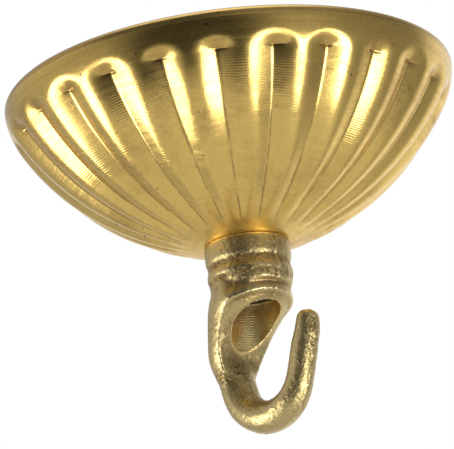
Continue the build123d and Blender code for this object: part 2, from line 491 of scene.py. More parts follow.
@dataclass(frozen=True)
class PressedBrass:
    """Lacquered pressed brass sheet with spinning lines, a cloudy film, stain and specks, and with painted
    shade: a painted dark reflection on the rim band and painted shade under the arch tops and along the
    creases.

    The spans named fade, begin, end, rim shade, bend and seat are distances down the sheet from
    the rim band.
    """

    colour: Colour = (0.86, 0.605, 0.18, 1.0)
    # Film colour, which also paints a dark reflection on the rim band and shade under the arch tops.
    film: Colour = (0.55, 0.36, 0.11, 1.0)
    speck: Colour = (0.20, 0.12, 0.05, 1.0)
    # Stain colour, which also paints the shade along the creases.
    stain_and_shade: Colour = (0.27, 0.17, 0.07, 1.0)
    roughness: float = 0.21
    film_scale: float = 75.0
    film_span: Span = (0.46, 0.74)
    film_weight: float = 0.75
    film_base: float = 0.10
    film_rough: float = 0.06
    # Painted dark reflection on and under the rim band, in the film colour: its span down the sheet and its
    # weight.
    rim_shade_span: Span = (-0.001, 0.0065)
    rim_shade_weight: float = 0.65
    speck_scale: float = 620.0
    speck_size: float = 0.13
    speck_share: float = 0.045
    streak: Texture = (1500.0, 3.0, 0.6)
    streak_span: Span = (0.32, 0.68)
    streak_round: float = 0.02
    streak_weight: float = 0.36
    streak_fade: Span = (0.010, 0.022)
    streak_loss: float = 0.75
    streak_rough: float = 0.10
    mottle: Texture = (1500.0, 4.0, 0.75)
    mottle_weight: float = 1.1
    smear: Texture = (180.0, 3.0, 0.6)
    smear_rough: float = 0.12
    seat_span: Span = (0.028, 0.042)
    seat_rough: float = 0.18
    bend_span: Span = (-0.0028, -0.0004)
    bend_darkening: float = 0.5
    blot: Texture = (230.0, 5.0, 0.72)
    blot_span: Span = (0.55, 0.72)
    blot_begin: Span = (0.001, 0.006)
    blot_end: Span = (0.012, 0.026)
    blot_stain: float = 0.55
    break_up: Texture = (260.0, 3.0, 0.6)
    break_span: Span = (0.30, 0.55)
    # Weight of the painted shade along the creases.
    crease_shade_weight: float = 0.8
    line_pitch: float = 0.00046
    line_height: float = 0.0000055
    line_scale: float = 110.0
    line_begin: Span = (0.005, 0.013)
    line_end: Span = (0.022, 0.040)
    line_least: float = 0.15
    hair_pitch: float = 0.00017
    hair_height: float = 0.0000008
    hair_scale: float = 260.0
    grain: Texture = (1900.0, 3.0, 0.7)
    grain_height: float = 0.000009
    ripple: Texture = (210.0, 2.0, 0.5)
    ripple_height: float = 0.00002

    def material(self, effects: EffectLibrary) -> bpy.types.Material:
        """Build the material.

        Args:
            effects: The shared effect groups.

        Returns:
            The material.
        """
        tree = MetalTree("Pressed brass", effects)
        along = tree.stored(Layer.TRAVEL)
        film = tree.film(self.film_scale, *self.film_span)
        streaks = self._streaks(tree, along)
        specks = tree.effect(
            effects.specks,
            vector=tree.place,
            scale=self.speck_scale,
            size=self.speck_size,
            share=self.speck_share,
        )
        # The film colour paints the real film and also the painted shade on the rim band and under the arch
        # tops; the next colour also paints shade along the creases.
        base = tree.blend(self._film_and_painted_shade(tree, along, film, streaks), self.colour, self.film)
        base = tree.blend(self._stain_and_shade(tree, along), base, self.stain_and_shade)
        base = tree.blend(specks.outputs["Mask"], base, self.speck)
        return tree.finished(base, self._rough(tree, along, film, streaks), self._relief(tree, along))

    def _streaks(self, tree: MetalTree, along: Socket) -> Socket:
        """Thin marks that the spinning drew out round the bowl.

        Args:
            tree: The material's nodes.
            along: Distance down the sheet.

        Returns:
            Their strength, from 0 to 1.
        """
        drawn = tree.node("ShaderNodeVectorMath", operation="MULTIPLY")
        tree.feed(drawn.inputs[0], tree.place)
        tree.feed(drawn.inputs[1], (self.streak_round, self.streak_round, 0.0))
        down = tree.node("ShaderNodeCombineXYZ")
        tree.feed(down.inputs[2], along)
        both = tree.node("ShaderNodeVectorMath", operation="ADD")
        tree.feed(both.inputs[0], drawn.outputs[0])
        tree.feed(both.inputs[1], down.outputs[0])
        return tree.remap(tree.noise(both.outputs[0], *self.streak), *self.streak_span)

    def _film_and_painted_shade(self, tree: MetalTree, along: Socket, film: Socket, streaks: Socket) -> Socket:
        """Brown film in clouds, drawn out and mottled, with painted shade: a painted dark reflection on and
        under the rim band and painted shade under the arch tops.

        Args:
            tree: The material's nodes.
            along: Distance down the sheet.
            film: Mask of the cloudy film.
            streaks: Strength of the drawn out marks.

        Returns:
            The share of film and painted shade.
        """
        # Painted dark reflection on and under the rim band, fading out down the sheet.
        under_rim = tree.inverse(tree.remap(along, *self.rim_shade_span))
        cloud = tree.math("MULTIPLY_ADD", film, self.film_weight, self.film_base)
        rim = tree.math("MULTIPLY", under_rim, self.rim_shade_weight)
        # Painted shade under the arch tops, joined with the painted rim reflection.
        corner = tree.math("MAXIMUM", rim, tree.stored(Layer.ARCH_SHADE))
        faded = tree.math("MULTIPLY_ADD", tree.remap(along, *self.streak_fade), -self.streak_loss, 1.0)
        drawn = tree.math("MULTIPLY", tree.math("SUBTRACT", streaks, NOISE_MIDDLE), self.streak_weight)
        drawn = tree.math("MULTIPLY", drawn, faded)
        film_and_shade = tree.math("ADD", tree.math("MAXIMUM", cloud, corner), drawn)
        mottle = tree.math("SUBTRACT", tree.noise(tree.place, *self.mottle), NOISE_MIDDLE)
        return tree.math("MULTIPLY_ADD", mottle, self.mottle_weight, film_and_shade)

    def _stain_and_shade(self, tree: MetalTree, along: Socket) -> Socket:
        """Dark stain in blots between the arches, darker on the bend of the rim, and painted shade in the
        creases.

        Args:
            tree: The material's nodes.
            along: Distance down the sheet.

        Returns:
            The share of stain and painted shade.
        """
        # Darker on the bend of the rim.
        bend = tree.inverse(tree.remap(along, *self.bend_span))
        blots = tree.remap(tree.noise(tree.place, *self.blot), *self.blot_span)
        where = tree.math("MULTIPLY", tree.between(along, self.blot_begin, self.blot_end), self.blot_stain)
        # Painted shade along the creases, broken up, in the stain colour.
        broken = tree.remap(tree.noise(tree.place, *self.break_up), *self.break_span)
        broken = tree.math("MULTIPLY", tree.stored(Layer.CREASE), broken)
        lined = tree.math("MULTIPLY", broken, self.crease_shade_weight)
        lined = tree.math("MAXIMUM", tree.math("MULTIPLY", blots, where), lined)
        return tree.math("MAXIMUM", tree.math("MULTIPLY", bend, self.bend_darkening), lined)

    def _rough(self, tree: MetalTree, along: Socket, film: Socket, streaks: Socket) -> Socket:
        """Vary the roughness with the smears, film and streaks, and raise it near the seat.

        Args:
            tree: The material's nodes.
            along: Distance down the sheet.
            film: Mask of the cloudy film.
            streaks: Strength of the drawn out marks.

        Returns:
            The roughness.
        """
        smear = tree.noise(tree.place, *self.smear)
        least = self.roughness - self.smear_rough / 2
        rough = tree.math("MULTIPLY_ADD", smear, self.smear_rough, least)
        rough = tree.math("MULTIPLY_ADD", film, self.film_rough, rough)
        rough = tree.math("SUBTRACT", rough, self.streak_rough / 2)
        rough = tree.math("MULTIPLY_ADD", streaks, self.streak_rough, rough)
        return tree.math("MULTIPLY_ADD", tree.remap(along, *self.seat_span), self.seat_rough, rough)

    def _relief(self, tree: MetalTree, along: Socket) -> Socket:
        """Chatter marks half-way down the bowl, hair lines, grain and soft ripples.

        Args:
            tree: The material's nodes.
            along: Distance down the sheet.

        Returns:
            The height in metres.
        """
        marks = tree.lines(along, self.line_pitch, self.line_scale)
        hairs = tree.lines(along, self.hair_pitch, self.hair_scale)
        where = tree.between(along, self.line_begin, self.line_end)
        strength = tree.math("MULTIPLY_ADD", where, 1.0 - self.line_least, self.line_least)
        height = tree.math("MULTIPLY", tree.math("MULTIPLY", marks, self.line_height), strength)
        height = tree.math("MULTIPLY_ADD", hairs, self.hair_height, height)
        height = tree.math("MULTIPLY_ADD", tree.noise(tree.place, *self.grain), self.grain_height, height)
        ripple = tree.noise(tree.place, *self.ripple)
        return tree.math("MULTIPLY_ADD", ripple, self.ripple_height, height)


@dataclass(frozen=True)
class CastBrass:
    """Sand cast brass, rubbed bright on its ridges, dull and sandy in its hollows, with painted light in
    its drilled bore.
    """

    colour: Colour = (0.57, 0.445, 0.20, 1.0)
    ridge: Colour = (0.78, 0.62, 0.32, 1.0)
    hollow: Colour = (0.40, 0.27, 0.11, 1.0)
    pit: Colour = (0.20, 0.14, 0.07, 1.0)
    # Drilled brass colours, raised above the metal's own tone as painted light in the dim bore, with smears
    # between them.
    bored: Colour = (1.0, 0.82, 0.40, 1.0)
    bore_film_lit: Colour = (0.90, 0.62, 0.25, 1.0)
    roughness: float = 0.36
    bore_roughness: float = 0.42
    bore_radius: float = 0.00475
    bore_end: float = -0.0492
    patch: Texture = (190.0, 3.0, 0.6)
    patch_span: Span = (0.50, 0.62)
    patch_weight: float = 0.35
    film_scale: float = 230.0
    film_span: Span = (0.42, 0.68)
    film_weight: float = 0.45
    film_rubbed: float = 1.4
    film_sand: float = 0.30
    hollow_span: Span = (0.0, 0.75)
    ridge_span: Span = (0.10, 0.75)
    pit_weight: float = 0.75
    smear: Texture = (330.0, 2.0, 0.5)
    smear_span: Span = (0.42, 0.66)
    polish_span: Span = (0.1, 0.8)
    polish: float = 0.10
    sand_rough: float = 0.08
    grain_scale: float = 2600.0
    grain_height: float = 0.00011
    grain_least: float = 0.15
    line_pitch: float = 0.00045
    line_height: float = 0.000022
    line_scale: float = 420.0
    ripple: Texture = (900.0, 2.0, 0.5)
    ripple_height: float = 0.00002

    def material(self, effects: EffectLibrary) -> bpy.types.Material:
        """Build the material.

        Args:
            effects: The shared effect groups.

        Returns:
            The material.
        """
        tree = MetalTree("Cast brass", effects)
        reach, level = tree.round_axis()
        within = tree.math("LESS_THAN", reach, self.bore_radius)
        bored = tree.math("MULTIPLY", within, tree.math("GREATER_THAN", level, self.bore_end))
        edge = tree.stored(Layer.EDGE)
        sand = tree.stored(Layer.SAND)
        patches = tree.remap(tree.noise(tree.place, *self.patch), *self.patch_span)
        sandy = tree.math("MAXIMUM", tree.math("MULTIPLY", patches, self.patch_weight), sand)
        sandy = tree.math("MULTIPLY", sandy, tree.inverse(bored))
        grain = tree.effect(effects.grain, vector=tree.place, scale=self.grain_scale)
        pits = tree.math("MULTIPLY", grain.outputs["Pits"], sandy)
        smears = tree.remap(tree.noise(tree.place, *self.smear), *self.smear_span)
        # The bore takes the raised drilled colours: its own bright tone with painted light.
        bright = tree.blend(smears, self.bored, self.bore_film_lit)
        base = tree.blend(bored, self._skin(tree, edge, sand, pits), bright)
        rough = self._rough(tree, edge, sandy, bored)
        lines = tree.math("MULTIPLY", tree.lines(level, self.line_pitch, self.line_scale), self.line_height)
        height = self._relief(tree, grain, sandy, tree.math("MULTIPLY", lines, bored))
        return tree.finished(base, rough, height)

    def _skin(self, tree: MetalTree, edge: Socket, sand: Socket, pits: Socket) -> Socket:
        """Colour of the cast skin, with film in its hollows and bright ridges.

        Args:
            tree: The material's nodes.
            edge: How far the surface stands out.
            sand: Share of sand grain that the mesh has.
            pits: Mask of the pits.

        Returns:
            The colour.
        """
        film = tree.film(self.film_scale, *self.film_span)
        dull = tree.math("MULTIPLY", edge, -self.film_rubbed)
        dull = tree.math("MULTIPLY_ADD", film, self.film_weight, dull)
        dull = tree.math("MULTIPLY_ADD", sand, self.film_sand, dull)
        skin = tree.blend(tree.remap(dull, *self.hollow_span), self.colour, self.hollow)
        skin = tree.blend(tree.remap(edge, *self.ridge_span), skin, self.ridge)
        return tree.blend(tree.math("MULTIPLY", pits, self.pit_weight), skin, self.pit)

    def _rough(self, tree: MetalTree, edge: Socket, sandy: Socket, bored: Socket) -> Socket:
        """Lower the roughness on rubbed edges and raise it on sand and in the bore.

        Args:
            tree: The material's nodes.
            edge: How far the surface stands out.
            sandy: Share of sand grain.
            bored: Mask of the drilled hole.

        Returns:
            The roughness.
        """
        rubbed = tree.remap(edge, *self.polish_span)
        rough = tree.math("MULTIPLY_ADD", rubbed, -self.polish, self.roughness)
        rough = tree.math("MULTIPLY_ADD", sandy, self.sand_rough, rough)
        drilled = tree.math("MULTIPLY", bored, self.bore_roughness - self.roughness)
        return tree.math("ADD", rough, drilled)

    def _relief(self, tree: MetalTree, grain: bpy.types.Node, sandy: Socket, lines: Socket) -> Socket:
        """Sand grain, soft ripples and the lines that the drill left.

        Args:
            tree: The material's nodes.
            grain: The placed grain effect.
            sandy: Share of sand grain.
            lines: Height of the lines in the bore.

        Returns:
            The height in metres.
        """
        least = self.grain_least * self.grain_height
        strength = tree.math("MULTIPLY_ADD", sandy, (1.0 - self.grain_least) * self.grain_height, least)
        height = tree.math("MULTIPLY_ADD", grain.outputs["Height"], strength, lines)
        ripple = tree.noise(tree.place, *self.ripple)
        return tree.math("MULTIPLY_ADD", ripple, self.ripple_height, height)


@dataclass(frozen=True)
class TurnedMetal:
    """Machined metal with fine turning lines, such as nuts, washers and screws."""

    name: str = "Turned brass"
    colour: Colour = (0.85, 0.63, 0.27, 1.0)
    film: Colour = (0.62, 0.45, 0.18, 1.0)
    roughness: float = 0.22
    film_scale: float = 220.0
    film_span: Span = (0.45, 0.70)
    film_rough: float = 0.12
    line_pitch: float = 0.00022
    line_height: float = 0.000004
    line_scale: float = 300.0

    def material(self, effects: EffectLibrary) -> bpy.types.Material:
        """Build the material.

        Args:
            effects: The shared effect groups.

        Returns:
            The material.
        """
        tree = MetalTree(self.name, effects)
        along = tree.math("ADD", *tree.round_axis())
        film = tree.film(self.film_scale, *self.film_span)
        base = tree.blend(film, self.colour, self.film)
        rough = tree.math("MULTIPLY_ADD", film, self.film_rough, self.roughness)
        lines = tree.lines(along, self.line_pitch, self.line_scale)
        return tree.finished(base, rough, lines, self.line_height)


# Pieces


@dataclass(frozen=True)
class ProfilePoint:
    """A point of the canopy's outer section.

    Its lean is the angle of its outward normal below the level. Its travel is its distance
    down the sheet from the rim band, and less than 0 above that.
    """

    radius: float
    height: float
    lean: float
    travel: float


@dataclass
class CanopyShell:
    """Pressed brass bowl with a rim band, 24 flutes and a seat for the hook."""

    radius: float = 40.0
    depth: float = 29.9
    sheet: float = 0.8
    rim_band: float = 1.8
    rim_bend: float = 1.3
    rim_lip: float = 2.6
    shoulder_radius: float = 15.0
    shoulder_lean: float = 8.0
    bowl_radius: float = 48.5
    seat_radius: float = 8.4
    hole_radius: float = 5.25
    flute_count: int = 24
    flute_depth: float = 1.3
    depth_falloff: float = 0.72
    crease_start: float = 5.75
    arch_stretch: float = 1.45
    flat_share: float = 0.55
    plain_width: float = 1.3
    run_out: float = 7.0
    crease_bead: float = 0.05
    bead_width: float = 0.14
    start_blend: float = 0.35
    nick_depth: float = 0.20
    nick_width: float = 0.20
    nick_lead: float = 0.15
    nick_slope: float = 0.10
    nick_taper: float = 2.0
    nick_left: Span = (1.1, 0.8)
    nick_right: Span = (0.5, 0.9)
    ring_radius: float = 10.6
    ring_depth: float = 0.07
    ring_fade: float = 0.5
    # Size and place of the painted shade under the arch tops.
    arch_shade_width: float = 2.6
    arch_shade_length: float = 2.4
    arch_shade_lead: float = 1.0
    arch_shade_share: float = 0.9
    # Painted shade along the creases, on the lower half of the bowl.
    crease_shade_start: float = 10.0
    crease_shade_length: float = 8.0
    crease_shade_width: float = 0.12
    crease_shade_margin: float = 2.0
    crease_shade_fade: float = 3.0
    columns: int = 22
    crease_columns: Span = (0.24, 0.46)
    crown_crowding: float = 1.35
    crowding_lead: float = 1.0
    crowding_length: float = 1.2
    row_zones: tuple[Span, ...] = ((4.4, 0.30), (6.0, 0.16), (8.0, 0.40), (60.0, 0.85))
    lip_rows: Span = (1.0, 0.5)
    lip_travel: float = -9.0
    bend_steps: int = 8
    bend_travel: float = -3.0
    seat_rows: Span = (0.5, 1.0)
    merge_reach: float = 1e-5

    @property
    def pitch(self) -> float:
        """Angle from one flute to the next."""
        return 2.0 * math.pi / self.flute_count

    def centres(self) -> tuple[Vector, Vector]:
        """Find the centres of the shoulder arc and of the tangent bowl arc.

        Returns:
            The two centres, in the section.
        """
        lean = math.radians(self.shoulder_lean)
        shoulder = Vector(
            (
                self.radius - self.shoulder_radius * math.cos(lean),
                -self.rim_band + self.shoulder_radius * math.sin(lean),
            )
        )
        span = Vector((self.seat_radius, -self.depth)) - shoulder
        reach = span.length
        between = self.bowl_radius - self.shoulder_radius
        along = (between**2 - self.bowl_radius**2 + reach**2) / (2.0 * reach)
        aside = math.sqrt(between**2 - along**2)
        unit = span / reach
        return shoulder, shoulder + unit * along + Vector((unit.y, -unit.x)) * aside

    def profile(self) -> list[ProfilePoint]:
        """Draw the outer section from the lip round the rim and down to the wire hole.

        Returns:
            The points in order.
        """
        points = []
        for share in self.lip_rows:
            x = self.radius - self.rim_lip * share
            points.append(ProfilePoint(x, 0.0, -math.pi / 2, self.lip_travel))
        bend_x = self.radius - self.rim_bend
        for step in range(self.bend_steps + 1):
            angle = math.pi / 2 * (1.0 - step / self.bend_steps)
            x = bend_x + self.rim_bend * math.cos(angle)
            z = -self.rim_bend + self.rim_bend * math.sin(angle)
            points.append(ProfilePoint(x, z, -angle, self.bend_travel))
        shoulder, bowl = self.centres()
        first = math.radians(self.shoulder_lean)
        tangent = math.atan2(bowl.y - shoulder.y, shoulder.x - bowl.x)
        last = math.atan2(bowl.y + self.depth, self.seat_radius - bowl.x)
        shoulder_travel = self.shoulder_radius * (tangent - first)
        total = shoulder_travel + self.bowl_radius * (last - tangent)
        for travel in self.row_travels(total):
            if travel < shoulder_travel:
                centre, reach = shoulder, self.shoulder_radius
                lean = first + travel / reach
            else:
                centre, reach = bowl, self.bowl_radius
                lean = tangent + (travel - shoulder_travel) / reach
            x = centre.x + reach * math.cos(lean)
            z = centre.y - reach * math.sin(lean)
            points.append(ProfilePoint(x, z, lean, travel))
        for share in self.seat_rows:
            x = self.seat_radius + (self.hole_radius - self.seat_radius) * share
            points.append(ProfilePoint(x, -self.depth, math.pi / 2, total + self.seat_radius - x))
        return points

    def row_travels(self, total: float) -> list[float]:
        """Space the rows down the sheet, closer together where the flutes start.

        Args:
            total: Length of the sheet from the rim band to the seat.

        Returns:
            The rows' distances from the rim band.
        """
        travels = [0.0]
        for end, spacing in self.row_zones:
            start = travels[-1]
            rows = max(round((min(end, total) - start) / spacing), 1)
            travels += [start + (min(end, total) - start) * row / rows for row in range(1, rows + 1)]
        return travels

    def column_offset(self, column: int, travel: float, half_pitch: float) -> float:
        """Place a column of vertices beside a crease.

        The columns are even above the flutes. Further down they crowd round the crease
        and the crowns.

        Args:
            column: Number of the column, 0 at the crease.
            travel: Distance down the sheet from the rim band.
            half_pitch: Distance from the crease to the crown.

        Returns:
            Its distance from the crease, round the bowl.
        """
        last = self.columns // 2
        even = half_pitch * column / last
        near, next_near = self.crease_columns
        fixed = len(self.crease_columns)
        if column < fixed:
            packed = near * column
        else:
            share = (column - fixed) / (last - fixed)
            spread = 1.0 - (1.0 - share) ** self.crown_crowding
            packed = next_near + (half_pitch - next_near) * spread
        begun = (travel - self.crease_start + self.crowding_lead) / self.crowding_length
        return even + (packed - even) * smooth_step(begun)

    def groove(self, across: float, travel: float, radius: float) -> float:
        """Depth of a flute below its crowns.

        Args:
            across: Distance from the line of the crease, round the bowl.
            travel: Distance down the sheet from the rim band.
            radius: Distance of the crown from the axis.

        Returns:
            The depth, square to the sheet.
        """
        half_pitch = math.pi * radius / self.flute_count
        ahead = self.crease_start - travel
        above = (ahead + math.hypot(ahead, self.start_blend)) / 2.0 * self.arch_stretch
        reach = min(math.hypot(across, above) / half_pitch, 1.0)
        steep = 2.0 / (1.0 + self.flat_share)
        if reach < self.flat_share:
            share = 1.0 - steep * reach
        else:
            share = steep * (1.0 - reach) ** 2 / (2.0 * (1.0 - self.flat_share))
        faded = smooth_step((radius - self.seat_radius - self.plain_width) / self.run_out)
        bead = self.crease_bead * bell(across, self.bead_width) * smooth_step(-ahead)
        deepest = self.flute_depth * (radius / self.radius) ** self.depth_falloff
        return (deepest * share - bead) * faded

    def nick(self, flute: int, across: float, travel: float) -> float:
        """Depth of the small mark that the tool leaves where a crease starts.

        Args:
            flute: Number of the flute.
            across: Signed distance from the line of the crease.
            travel: Distance down the sheet from the rim band.

        Returns:
            The depth, square to the sheet.
        """
        chance = noise.cell(Vector((flute + NOISE_MIDDLE, NOISE_MIDDLE, NOISE_MIDDLE)))
        if across < 0.0:
            wing = self.nick_left[0] + self.nick_left[1] * chance
        else:
            wing = self.nick_right[0] + self.nick_right[1] * (1.0 - chance)
        along = travel - self.crease_start + self.nick_lead + self.nick_slope * abs(across)
        taper = smooth_step(self.nick_taper * (1.0 - abs(across) / wing))
        return self.nick_depth * bell(along, self.nick_width) * taper

    def arch_shade(self, across: float, point: ProfilePoint) -> float:
        """Share of painted shade, in the brown film colour, in the hollow under the top of an arch."""
        below = (point.travel - self.crease_start + self.arch_shade_lead) / self.arch_shade_length
        return max(0.0, 1.0 - math.hypot(across / self.arch_shade_width, below) ** 2) ** 0.5 * self.arch_shade_share

    def painted_crease_shade(self, across: float, point: ProfilePoint) -> float:
        """Share of painted shade along the line of a crease, on the lower half of the bowl.

        Args:
            across: Distance from the line of the crease.
            point: The point of the section.

        Returns:
            The share, from 0 to 1.
        """
        begun = smooth_step((point.travel - self.crease_shade_start) / self.crease_shade_length)
        over = smooth_step((point.radius - self.seat_radius - self.crease_shade_margin) / self.crease_shade_fade)
        return bell(across, self.crease_shade_width) * begun * over

    def build(self) -> bpy.types.Object:
        """Spin the section, press the flutes in and store what the finish reads.

        Returns:
            The new piece.
        """
        bm = bmesh.new()
        row_layer = bm.verts.layers.int.new("row")
        points = self.profile()
        line = []
        for row, point in enumerate(points):
            vert = bm.verts.new((point.radius, 0.0, point.height))
            vert[row_layer] = row
            line.append(vert)
        spin_line(bm, line, self.flute_count * self.columns, 0.0)
        bmesh.ops.remove_doubles(bm, verts=bm.verts, dist=self.merge_reach)
        bmesh.ops.recalc_face_normals(bm, faces=bm.faces)
        self._press(bm, row_layer, points)
        travel_layer, arch_shade_layer, crease_layer = (
            bm.verts.layers.float.new(layer.value) for layer in (Layer.TRAVEL, Layer.ARCH_SHADE, Layer.CREASE)
        )
        for vert in bm.verts:
            point = points[vert[row_layer]]
            angle = math.atan2(vert.co.y, vert.co.x)
            across = (angle - round(angle / self.pitch) * self.pitch) * point.radius
            vert[travel_layer] = point.travel * MM
            # Painted shade under the arch tops and along the creases, stored for the finish.
            vert[arch_shade_layer] = self.arch_shade(across, point)
            vert[crease_layer] = self.painted_crease_shade(across, point)
        return finished_object(bm, "canopy_bowl")

    def _press(
        self,
        bm: bmesh.types.BMesh,
        row_layer: bmesh.types.BMLayerItem,
        rows: list[ProfilePoint],
    ) -> None:
        """Move the vertices of the bowl to form the flutes, and mark the line under the rim band.

        Args:
            bm: The spun bowl.
            row_layer: Layer with the row of each vertex.
            rows: Section points by their row.
        """
        band = set()
        for vert in bm.verts:
            row = rows[vert[row_layer]]
            if row.travel < 0.0:
                continue
            if row.travel == 0.0:
                band.add(vert)
            angle = math.atan2(vert.co.y, vert.co.x)
            flute = round(angle / self.pitch)
            column = round((angle - flute * self.pitch) / self.pitch * self.columns)
            side = math.copysign(1.0, column)
            across = side * self.column_offset(abs(column), row.travel, self.pitch / 2 * row.radius)
            angle = flute * self.pitch + across / row.radius
            depth = self.groove(abs(across), row.travel, row.radius)
            depth += self.nick(flute % self.flute_count, across, row.travel)
            inside_ring = smooth_step((self.ring_radius - row.radius) / self.ring_fade)
            depth += self.ring_depth * inside_ring * smooth_step(row.radius - self.seat_radius)
            level = math.cos(row.lean)
            outward = Vector((level * math.cos(angle), level * math.sin(angle), -math.sin(row.lean)))
            start = Vector((row.radius * math.cos(angle), row.radius * math.sin(angle), row.height))
            vert.co = start - outward * depth
        for edge in bm.edges:
            edge.smooth = not set(edge.verts) <= band

    def dress(self, piece: bpy.types.Object, finish: bpy.types.Material) -> None:
        """Thicken the sheet inwards, give it its finish and put it in the frame.

        Args:
            piece: The bowl.
            finish: Its material.
        """
        wall = piece.modifiers.new("Sheet", "SOLIDIFY")
        wall.thickness = self.sheet * MM
        wall.offset = -1.0
        piece.data.materials.append(finish)
        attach(piece, "root")
        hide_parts("canopy_shell")


@dataclass
class HookCasting:
    """Cast brass hook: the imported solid, remeshed, eased and given its casting flaws.

    Each name that ends in scale belongs to a noise, and is its fineness per millimetre.
    """

    voxel: float = 0.2
    merge_reach: float = 1e-7
    easing: float = 0.5
    easing_passes: int = 4
    seam_height: float = 0.14
    seam_width: float = 0.22
    seam_step: float = 0.20
    step_aside: float = 0.4
    seam_sway: float = 0.35
    sway_scale: float = 0.9
    ragged_mean: float = 0.5
    ragged_swing: float = 1.1
    ragged_scale: float = 1.1
    swell: float = 0.05
    swell_scale: float = 0.45
    unevenness: float = 0.045
    uneven_scale: float = 1.6
    uneven_start: Place = (7.0, 3.0, 1.0)
    grit: float = 0.075
    grit_scale: float = 2.7
    grit_start: Place = (1.0, 9.0, 4.0)
    grit_least: float = 0.2
    bore_radius: float = 5.2
    bore_drop: float = 48.3
    machined_top: float = -30.5
    eye_tilt: float = 36.0
    eye_centre: float = -26.0
    eye_reach: float = 7.6
    eye_height: float = 0.48
    eye_width: float = 0.52
    eye_side: float = 8.0
    eye_facing: Span = (1.6, 0.4)
    eye_fade: Span = (3.0, 2.5)
    eye_hollow: float = 0.8
    hollow_aside: float = 2.2
    burr: Place = (-10.2, 0.0, -54.0)
    burr_height: float = 0.40
    burr_spread: float = 0.5
    edge_passes: int = 14
    edge_scale: float = 0.16
    sand_scale: float = 0.7
    sand_mean: float = 0.75
    sand_swing: float = 0.9
    sand_gain: float = 1.5
    sand_cut: float = 0.25
    sandy_rings: tuple[Span, ...] = ((-34.4, 0.8), (-36.9, 0.6))
    sandy_spots: tuple[tuple[float, float, float, float], ...] = (
        (-3.5, -1.5, -51.5, 3.2),
        (1.8, -1.0, -57.4, 2.8),
        (15.2, 1.4, -50.0, 3.6),
        (15.0, 1.4, -55.0, 3.6),
        (-6.5, -4.5, -53.0, 2.2),
    )

    def build(self, node: bpy.types.Object) -> bpy.types.Object:
        """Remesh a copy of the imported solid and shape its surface.

        Args:
            node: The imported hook.

        Returns:
            The new piece.
        """
        bm = bmesh.new()
        bm.from_mesh(node.data)
        bmesh.ops.remove_doubles(bm, verts=bm.verts, dist=self.merge_reach)
        bmesh.ops.scale(bm, vec=(1 / MM, 1 / MM, 1 / MM), verts=bm.verts)
        rough = finished_object(bm, "hook_rough")
        remesh = rough.modifiers.new("Voxels", "REMESH")
        remesh.mode = "VOXEL"
        remesh.voxel_size = self.voxel * MM
        graph = bpy.context.evaluated_depsgraph_get()
        graph.update()
        mesh = bpy.data.meshes.new_from_object(rough.evaluated_get(graph))
        bpy.data.objects.remove(rough)
        bm = bmesh.new()
        bm.from_mesh(mesh)
        bpy.data.meshes.remove(mesh)
        bmesh.ops.scale(bm, vec=(1 / MM, 1 / MM, 1 / MM), verts=bm.verts)
        self._smooth(bm, self.easing_passes)
        self._roughen(bm)
        self._mark_edges(bm)
        return finished_object(bm, "lamp_hook")

    def _smooth(self, bm: bmesh.types.BMesh, passes: int) -> None:
        """Ease every vertex towards its neighbours.

        Args:
            bm: The mesh.
            passes: How many times it is eased.
        """
        for _ in range(passes):
            bmesh.ops.smooth_vert(
                bm, verts=bm.verts, factor=self.easing, use_axis_x=True, use_axis_y=True, use_axis_z=True
            )

    def _roughen(self, bm: bmesh.types.BMesh) -> None:
        """Add the lip round the eye, the parting seam, the burr and the uneven skin.

        The drilled hole and the machined top stay plain, and no vertex leaves the box of
        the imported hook.

        Args:
            bm: The eased hook.
        """
        bm.normal_update()
        moves = []
        for vert in bm.verts:
            x, y, z = vert.co
            inside_bore = math.hypot(x, y) < self.bore_radius and z > -self.bore_drop
            if inside_bore or z > self.machined_top:
                continue
            away = (vert.co - Vector(self.burr)).length_squared
            burr = self.burr_height * math.exp(-away / self.burr_spread)
            height = self._lumps(vert.co) + self._seam(vert) + burr + self._eye_lip(vert)
            moves.append((vert, vert.normal * height))
        low, high = (Vector(corner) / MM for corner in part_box("hook_casting"))
        for vert, move in moves:
            for axis, value in enumerate(vert.co + move):
                vert.co[axis] = min(max(value, low[axis]), high[axis])

    def _lumps(self, place: Vector) -> float:
        """Height of the uneven skin and its grit.

        Args:
            place: The place, in millimetres.

        Returns:
            The height.
        """
        lump = noise.noise(place * self.swell_scale) * self.swell
        lump += noise.noise(place * self.uneven_scale + Vector(self.uneven_start)) * self.unevenness
        gritty = self.grit_least + self._sandiness(place)
        return lump + noise.noise(place * self.grit_scale + Vector(self.grit_start)) * self.grit * gritty

    def _seam(self, vert: bmesh.types.BMVert) -> float:
        """Height of the ragged parting seam, with a step beside it on the side of the tip.

        Args:
            vert: The vertex.

        Returns:
            The height.
        """
        x, y, z = vert.co
        ragged = self.ragged_mean + self.ragged_swing * noise.noise(vert.co * self.ragged_scale)
        aside = y + self.seam_sway * noise.noise(Vector((0.0, x, z)) * self.sway_scale)
        seam = self.seam_height * bell(aside, self.seam_width) * (1.0 - abs(vert.normal.y))
        if x > 0.0 and z > -self.bore_drop:
            seam -= self.seam_step * bell(aside + self.step_aside, self.seam_width)
        return seam * ragged

    def _eye_lip(self, vert: bmesh.types.BMVert) -> float:
        """Height of the rounded lip round the window, with a shallow hollow outside it.

        Args:
            vert: The vertex.

        Returns:
            The height.
        """
        x, y, z = vert.co
        tilt = math.radians(self.eye_tilt)
        along = x * math.cos(tilt) + z * math.sin(tilt) - self.eye_centre
        reach = math.hypot(along, y) - self.eye_reach
        facing = smooth_step(vert.normal.x * self.eye_facing[0] + self.eye_facing[1])
        facing *= smooth_step((along + self.eye_fade[0]) / self.eye_fade[1])
        facing *= smooth_step(self.eye_side - x)
        hollow = bell(reach - self.hollow_aside * self.eye_width, self.eye_width)
        return self.eye_height * facing * (bell(reach, self.eye_width) - self.eye_hollow * hollow)

